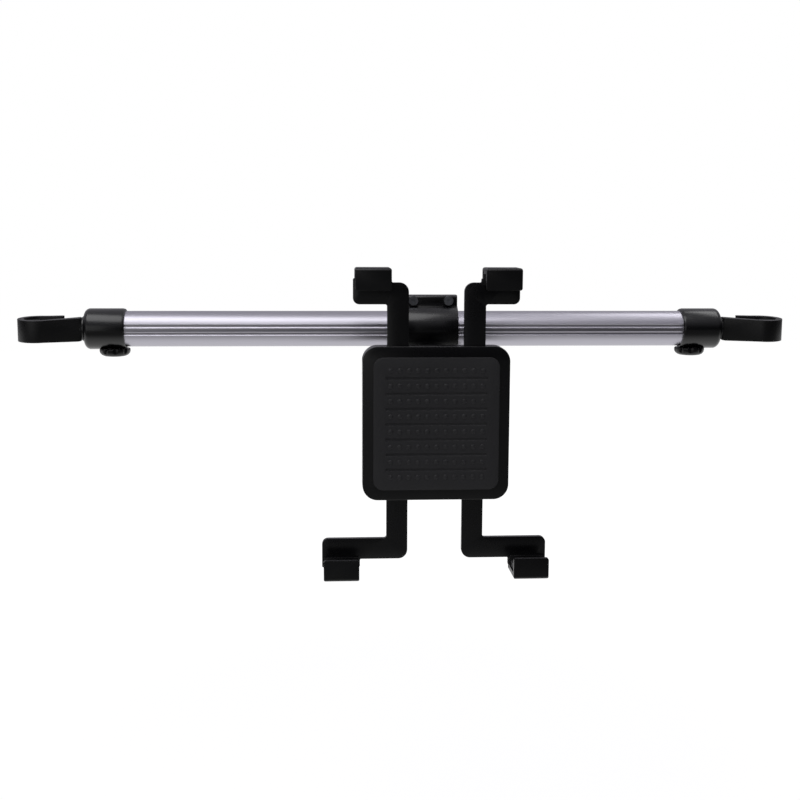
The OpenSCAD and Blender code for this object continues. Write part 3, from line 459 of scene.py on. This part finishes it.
def relief_tree(name, sizes, whole_numbers):
    """Start a tree with named inputs; return it with its input node's outputs."""
    tree = bpy.data.node_groups.new(name, "GeometryNodeTree")
    tree.interface.new_socket(name="Geometry", in_out="OUTPUT",
                              socket_type="NodeSocketGeometry")
    for size in sizes:
        kind = "NodeSocketInt" if size in whole_numbers else "NodeSocketFloat"
        tree.interface.new_socket(name=size, in_out="INPUT", socket_type=kind)
    tree.interface.new_socket(name="Rubber", in_out="INPUT", socket_type="NodeSocketMaterial")
    return tree, add(tree, "NodeGroupInput").outputs


def set_copies(tree, given, points, copy, scale=(1.0, 1.0, 1.0)):
    """End a tree: one copy on each point, made real, with its material."""
    copies = add(tree, "GeometryNodeInstanceOnPoints",
                 inputs={"Points": points, "Instance": copy, "Scale": scale})
    real = add(tree, "GeometryNodeRealizeInstances", inputs={"Geometry": copies.outputs[0]})
    finished = add(tree, "GeometryNodeSetMaterial",
                   inputs={"Geometry": real.outputs[0], "Material": given["Rubber"]})
    add(tree, "NodeGroupOutput", inputs={"Geometry": finished.outputs[0]})
    return tree


def pip_grid_tree():
    """Squashed spheres on a flat grid: a ball one unit wide, scaled to a pip's three sizes."""
    tree, given = relief_tree(
        "pip_grid", ["Columns", "Rows", "Column Pitch", "Row Pitch", "Pip Width", "Pip Length",
                     "Pip Height"], ("Columns", "Rows"))
    spans = []
    for count, pitch in (("Columns", "Column Pitch"), ("Rows", "Row Pitch")):
        gaps = add(tree, "ShaderNodeMath", {"operation": "SUBTRACT"}, {0: given[count], 1: 1.0})
        spans.append(add(tree, "ShaderNodeMath", {"operation": "MULTIPLY"},
                         {0: gaps.outputs[0], 1: given[pitch]}).outputs[0])
    grid = add(tree, "GeometryNodeMeshGrid", inputs={
        "Size X": spans[0], "Size Y": spans[1],
        "Vertices X": given["Columns"], "Vertices Y": given["Rows"]})
    ball = add(tree, "GeometryNodeMeshUVSphere", inputs={
        "Segments": BALL_SEGMENTS, "Rings": BALL_RINGS, "Radius": 0.5})
    shape = add(tree, "ShaderNodeCombineXYZ", inputs={
        "X": given["Pip Width"], "Y": given["Pip Length"], "Z": given["Pip Height"]})
    return set_copies(tree, given, grid.outputs["Mesh"], ball.outputs["Mesh"],
                      shape.outputs[0])


def seat_rib_tree():
    """Upright round bars on an arc."""
    tree, given = relief_tree(
        "seat_ribs", ["Ribs", "Seat Radius", "First Angle", "Sweep", "Rib Radius", "Rib Height"],
        ("Ribs",))
    arc = add(tree, "GeometryNodeCurveArc", inputs={
        "Resolution": given["Ribs"], "Radius": given["Seat Radius"],
        "Start Angle": given["First Angle"], "Sweep Angle": given["Sweep"]})
    bar = add(tree, "GeometryNodeMeshCylinder", inputs={
        "Vertices": BAR_SIDES, "Radius": given["Rib Radius"], "Depth": given["Rib Height"]})
    return set_copies(tree, given, arc.outputs["Curve"], bar.outputs["Mesh"])


def grown(tree, sizes):
    """Run a tree once and keep the result as a plain mesh."""
    holder = bpy.data.objects.new(tree.name, bpy.data.meshes.new(tree.name))
    bpy.context.scene.collection.objects.link(holder)
    modifier = holder.modifiers.new(tree.name, "NODES")
    modifier.node_group = tree
    values = {**sizes, "Rubber": finishes["soft_rubber"]}
    for socket in tree.interface.items_tree:
        if socket.in_out == "INPUT":
            modifier[socket.identifier] = values[socket.name]
    graph = bpy.context.evaluated_depsgraph_get()
    mesh = bpy.data.meshes.new_from_object(holder.evaluated_get(graph))
    holder.modifiers.remove(modifier)
    bpy.data.objects.remove(holder)
    return mesh


pip_grid, seat_ribs = pip_grid_tree(), seat_rib_tree()
print("trees:", pip_grid.name, len(pip_grid.nodes), "nodes,",
      seat_ribs.name, len(seat_ribs.nodes), "nodes")

# %% [markdown]
# ## The rest pad
# A mat of moulded rubber lies in the cradle's face, so that nothing held there slides or
# rattles. Its rows of round pips stand between the grooves of the CAD pad. Each body gets
# one rubber piece: rounded copies of its CAD pads, with the relief half sunk in them, as
# closed shells in one mesh. It is solid rubber on a hard part, so no cloth is simulated.

# %% Rest pad
PAD_EDGE_MM = 0.4
PIP_COLUMNS, PIP_ROWS = 11, 8
PIP_PITCH_X, PIP_PITCH_Z = 6 * MM, 10 * MM
PIP_WIDTH, PIP_HEIGHT, PIP_SUNK = 3.4 * MM, 1.5 * MM, 0.05 * MM
FLAT_TO_USER = Matrix.Rotation(math.radians(90), 4, "X")


def rubber_piece(name, node_names, radius_mm, relief):
    """One rubber piece for the pads of one body: rounded copies of them, and their relief."""
    skin = bmesh.new()
    for node_name in node_names:
        skin.from_mesh(soft_mesh(node_name, radius_mm))
    for grown_mesh, place in relief:
        grown_mesh.transform(place)
        skin.from_mesh(grown_mesh)
    bmesh.ops.triangulate(skin, faces=skin.faces)
    for face in skin.faces:
        face.material_index = 0
    mesh = bpy.data.meshes.new(name)
    skin.to_mesh(mesh)
    skin.free()
    mesh.materials.append(finishes["soft_rubber"])
    piece = finished_piece(name, mesh, node_names)


low, high = (Vector(corner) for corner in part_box("cradle_pad"))
pips = grown(pip_grid, {"Columns": PIP_COLUMNS, "Rows": PIP_ROWS, "Column Pitch": PIP_PITCH_X,
                        "Row Pitch": PIP_PITCH_Z, "Pip Width": PIP_WIDTH,
                        "Pip Length": PIP_WIDTH, "Pip Height": PIP_HEIGHT})
pad_face = Vector(((low.x + high.x) / 2, low.y + PIP_SUNK, (low.z + high.z) / 2))
rubber_piece("rest_pad", ["cradle_pad"], PAD_EDGE_MM,
             [(pips, Matrix.Translation(pad_face) @ FLAT_TO_USER)])

# %% [markdown]
# ## The claw pads
# A pad lies in each claw, and four ribs across it give it grip. The ribs are long pips of
# the same tree, one row to a pad, on the side that faces the cradle's middle: the lower
# side of an upper pad, and the upper side of a lower one.

# %% Claw pads
CLAW_RIBS, CLAW_RIB_PITCH = 4, 4 * MM
CLAW_RIB_WIDTH, CLAW_RIB_HEIGHT, CLAW_RIB_ENDS = 1.5 * MM, 0.9 * MM, 1.5 * MM

for level in ("upper", "lower"):
    pads = [f"claw_pad_{level}_{side}" for side in ("left", "right")]
    relief = []
    for pad in pads:
        low, high = (Vector(corner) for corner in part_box(pad))
        ribs = grown(pip_grid, {"Columns": CLAW_RIBS, "Rows": 1,
                                "Column Pitch": CLAW_RIB_PITCH, "Row Pitch": 0.0,
                                "Pip Width": CLAW_RIB_WIDTH,
                                "Pip Length": high.y - low.y - CLAW_RIB_ENDS,
                                "Pip Height": CLAW_RIB_HEIGHT})
        face_z = low.z if level == "upper" else high.z
        middle = Vector(((low.x + high.x) / 2, (low.y + high.y) / 2, face_z))
        relief.append((ribs, Matrix.Translation(middle)))
    rubber_piece(level + "_claw_pads", pads, PAD_EDGE_MM, relief)

# %% [markdown]
# ## The post pads
# Each hook is lined with rubber where it takes the post, and upright ribs stop it from
# turning on the post. They stand on half a turn round the post's axis. Its middle lies
# outwards and 10 degrees to the front, so the ribs end before the hook's open side, and
# they reach a quarter of a millimetre into the post's size, as rubber that is squeezed.

# %% Post pads
POST_RIBS, POST_PAD_EDGE_MM, SWEEP_DEG = 13, 0.5, 180
RIB_OFFSET_MM, RIB_RADIUS_MM, RIB_HEIGHT_MM = 0.3, 0.55, 10.6
SEAT_MIDDLE_DEG = {"left": 190.0, "right": -10.0}

seat_axis = {row["name"]: Vector(row["pos_m"]) for row in frame["record"]["mounts"]}
post_r_mm = frame["record"]["mounts"][0]["dims"]["r_mm"]
for side, middle_deg in SEAT_MIDDLE_DEG.items():
    ribs = grown(seat_ribs, {"Ribs": POST_RIBS, "Seat Radius": (post_r_mm + RIB_OFFSET_MM) * MM,
                             "First Angle": math.radians(middle_deg - SWEEP_DEG / 2),
                             "Sweep": math.radians(SWEEP_DEG),
                             "Rib Radius": RIB_RADIUS_MM * MM, "Rib Height": RIB_HEIGHT_MM * MM})
    rubber_piece("post_pad_" + side, ["hook_pad_" + side], POST_PAD_EDGE_MM,
                 [(ribs, Matrix.Translation(seat_axis[f"{side}_post_hook"]))])
